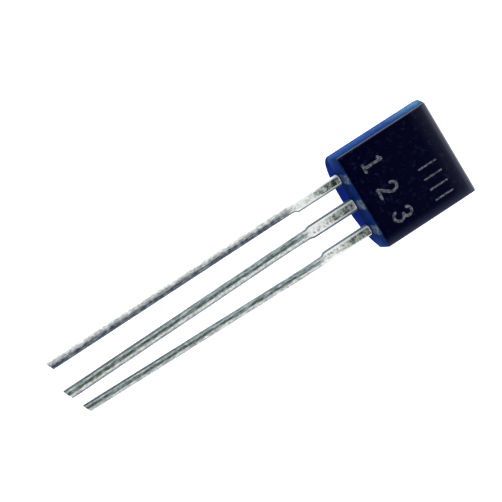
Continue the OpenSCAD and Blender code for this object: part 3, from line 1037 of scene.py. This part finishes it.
def pin_number(number):
    """The strokes of a pin number, in a box 1 wide and 1 high."""
    if number == 1:
        return [[(0.22, 0.86), (0.5, 1.0), (0.5, 0.0)], [(0.18, 0.0), (0.82, 0.0)]]
    if number == 2:
        return [bow(0.5, 0.72, 0.4, 0.28, 170, -35) + [(0.1, 0.0), (0.95, 0.0)]]
    return [bow(0.48, 0.76, 0.38, 0.24, 160, -80), bow(0.48, 0.27, 0.43, 0.27, 88, -160)]


def finely(path):
    """The path with points added so that none lie further apart than a step."""
    made = [Vector(path[0])]
    for a, b in zip(path, path[1:]):
        a, b = Vector(a), Vector(b)
        steps = max(1, math.ceil((b - a).length / STROKE_STEP))
        made += [a + (b - a) * i / steps for i in range(1, steps + 1)]
    return made


def stroke(points, faces, path, width):
    """Adds one raised stroke along a path on the face, with round ends and a crowned top."""
    case, film = settings().case, settings().marks.film
    steps = finely(path)
    start = (steps[0] - steps[1]).normalized() * width / 2
    end = (steps[-1] - steps[-2]).normalized() * width / 2
    rows = []
    for share in STROKE_CAP:
        rows.append((steps[0] + start * math.sqrt(1 - share ** 2), share, -start))
    for i, here in enumerate(steps):
        rows.append((here, 1.0, steps[min(len(steps) - 1, i + 1)] - steps[max(0, i - 1)]))
    for share in reversed(STROKE_CAP):
        rows.append((steps[-1] + end * math.sqrt(1 - share ** 2), share, end))
    faces.extend(loft_faces(len(rows), len(STROKE_ACROSS), first=len(points)))
    for here, share, heading in rows:
        side = Vector((-heading.y, heading.x)).normalized() * width / 2 * share
        for offset, height in STROKE_ACROSS:
            at = here + side * offset
            rise = film * height * (0.3 + 0.7 * share if height > 0 else 1.0)
            face_y = settled(case, (at.x, -case.face_depth, at.y))[1]
            points.append((at.x, face_y - rise, at.y))


# ---------------------------------------------------------------- operators

class TRANSISTOR_OT_case(bpy.types.Operator):
    """Build the moulded epoxy case with its parting line, ejector mark and gate scar"""
    bl_idname = "transistor.case"
    bl_label = "Moulded case"
    bl_options = {"REGISTER", "UNDO"}

    def execute(self, context):
        case = settings().case
        piece = mesh_object("epoxy_case", *case_mesh(case))
        combine(piece, gate_scar(case), "UNION")
        combine(piece, ejector_pin(case), "DIFFERENCE")
        dress(piece, 40, moulded_epoxy())
        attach(piece, BODY)
        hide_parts("body")
        return {"FINISHED"}


class TRANSISTOR_OT_leads(bpy.types.Operator):
    """Build the three stamped and tinned leads with their posts and flag"""
    bl_idname = "transistor.leads"
    bl_label = "Tinned leads"
    bl_options = {"REGISTER", "UNDO"}

    def execute(self, context):
        tin, cut = dipped_tin(), sheared_metal()
        for side, node in ((-1, "left_lead"), (0, "middle_lead"), (1, "right_lead")):
            piece = lead_piece(side, f"tinned_{node}")
            if side == 0:
                combine(piece, lock_hole(), "DIFFERENCE")
            dress(piece, 40, tin, cut)
            tip = min(v.co.z for v in piece.data.vertices)
            for polygon in piece.data.polygons:
                if polygon.center.z < tip + CUT_DEPTH and polygon.normal.z < -0.7:
                    polygon.material_index = 1
            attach(piece, BODY)
            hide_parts(node)
        return {"FINISHED"}


class TRANSISTOR_OT_marks(bpy.types.Operator):
    """Print the pin numbers, one above each lead, and a row of plain ticks on the face"""
    bl_idname = "transistor.marks"
    bl_label = "Face marks"
    bl_options = {"REGISTER", "UNDO"}

    def execute(self, context):
        marks, leads = settings().marks, settings().leads
        points, faces = [], []
        for number in (1, 2, 3):
            left = leads.shift + (number - 2) * leads.pitch - marks.number_width / 2
            for path in pin_number(number):
                path = [(left + x * marks.number_width,
                         marks.number_base + z * marks.number_height) for x, z in path]
                stroke(points, faces, path, marks.number_stroke)
        for i in range(marks.tick_count):
            x = marks.tick_right - i * marks.tick_pitch
            path = [(x, marks.tick_base), (x, marks.tick_base + marks.tick_height)]
            stroke(points, faces, path, marks.tick_stroke)
        piece = mesh_object("face_marks", points, faces)
        dress(piece, 60, printed_ink())
        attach(piece, BODY)
        return {"FINISHED"}


class TRANSISTOR_OT_inner(bpy.types.Operator):
    """Finish the silicon die, its solder and the bond wires inside the case"""
    bl_idname = "transistor.inner"
    bl_label = "Die and bond wires"
    bl_options = {"REGISTER", "UNDO"}

    def execute(self, context):
        look = settings().finish
        gold = inner_metal("drawn_gold", look.gold, 0.25, 0.02)
        finishes = {
            "die": inner_metal("polished_silicon", look.silicon, 0.15, 0.05, 0.6),
            "die_attach": inner_metal("die_solder", look.solder, 0.45, 0.08),
            "left_bond_wire": gold,
            "right_bond_wire": gold,
        }
        for node, finish in finishes.items():
            piece = frame["nodes"][node]
            piece.data.materials.clear()
            piece.data.materials.append(finish)
        return {"FINISHED"}


class TRANSISTOR_OT_stage(bpy.types.Operator):
    """Add the pale floor, the soft light and the camera"""
    bl_idname = "transistor.stage"
    bl_label = "Stage"
    bl_options = {"REGISTER", "UNDO"}

    def execute(self, context):
        add_floor()
        light_studio()
        add_camera()
        return {"FINISHED"}


def add_floor():
    """A square of matt pale board under the part."""
    half = settings().studio.floor_size / 2
    mesh = bpy.data.meshes.new("floor")
    mesh.from_pydata([(-half, -half, 0), (half, -half, 0), (half, half, 0), (-half, half, 0)],
                     [], [(0, 1, 2, 3)])
    floor = bpy.data.objects.new("floor", mesh)
    bpy.context.scene.collection.objects.link(floor)
    mesh.materials.append(pale_board())


def light_studio():
    """Pale walls, a dark card overhead and four soft lamps in the corners of the studio."""
    studio = settings().studio
    scene = bpy.context.scene
    scene.view_settings.view_transform = "Standard"
    world = bpy.data.worlds.new("studio")
    scene.world = world
    world.use_nodes = True
    tree = world.node_tree
    tree.nodes.clear()
    way = add(tree, "TexCoord").outputs["Generated"]
    tilt = add(tree, "VectorMath", way, studio.wall_tilt, operation="DOT_PRODUCT")
    walls = add(tree, "Math", tilt, studio.wall_light, operation="ADD")
    near = add(tree, "VectorMath", way, studio.card_way, operation="DOT_PRODUCT")
    past = add(tree, "Math", near, operation="ARCCOSINE")
    card = add(tree, "MapRange", past, studio.card_inner, studio.card_outer, 0.0, walls)
    glow = add(tree, "Background", studio.wall_colour, card)
    add(tree, "OutputWorld", glow)
    for corner in (45, 135, 225, 315):
        lamp = bpy.data.objects.new(f"lamp_{corner}", bpy.data.lights.new(f"lamp_{corner}", "SUN"))
        scene.collection.objects.link(lamp)
        lamp.data.energy = studio.lamp_light
        lamp.data.angle = studio.lamp_width
        lamp.visible_glossy = False
        lamp.rotation_euler = (0.0, math.pi / 2 - studio.lamp_height, math.radians(corner))


def add_camera():
    """The camera, looking down on the flat face from the lead side."""
    studio = settings().studio
    camera = bpy.data.objects.new("camera", bpy.data.cameras.new("camera"))
    bpy.context.scene.collection.objects.link(camera)
    bpy.context.scene.camera = camera
    camera.data.angle = studio.view
    camera.data.clip_start = 0.1 * studio.distance
    camera.data.clip_end = 100 * studio.distance
    quarter = math.pi / 2
    camera.matrix_world = (Matrix.Translation(studio.aim)
                           @ Matrix.Rotation(studio.azimuth + quarter, 4, "Z")
                           @ Matrix.Rotation(quarter - studio.elevation, 4, "X")
                           @ Matrix.Rotation(studio.roll, 4, "Z")
                           @ Matrix.Translation((0.0, 0.0, studio.distance)))


# ---------------------------------------------------------------- panel and registration

class TRANSISTOR_PT_panel(bpy.types.Panel):
    """Lists the steps that build the transistor"""
    bl_idname = "TRANSISTOR_PT_panel"
    bl_label = "Transistor"
    bl_space_type = "VIEW_3D"
    bl_region_type = "UI"
    bl_category = "Transistor"

    def draw(self, context):
        for operator in STEPS:
            self.layout.operator(operator.bl_idname)


STEPS = (TRANSISTOR_OT_case, TRANSISTOR_OT_leads, TRANSISTOR_OT_marks, TRANSISTOR_OT_inner,
         TRANSISTOR_OT_stage)
GROUPS = (CaseSizes, LeadSizes, InnerSizes, MarkSizes, Finish, Studio, TransistorSettings)


def register():
    """Makes the settings, the operators and the panel known to Blender."""
    for made in (*GROUPS, *STEPS, TRANSISTOR_PT_panel):
        bpy.utils.register_class(made)
    bpy.types.Scene.transistor = PointerProperty(type=TransistorSettings)


def unregister():
    """Takes them away again."""
    del bpy.types.Scene.transistor
    for made in reversed((*GROUPS, *STEPS, TRANSISTOR_PT_panel)):
        bpy.utils.unregister_class(made)


def main():
    """Builds the transistor step by step."""
    register()
    bpy.ops.transistor.case()
    bpy.ops.transistor.leads()
    bpy.ops.transistor.marks()
    bpy.ops.transistor.inner()
    bpy.ops.transistor.stage()


if __name__ == "__main__":
    main()
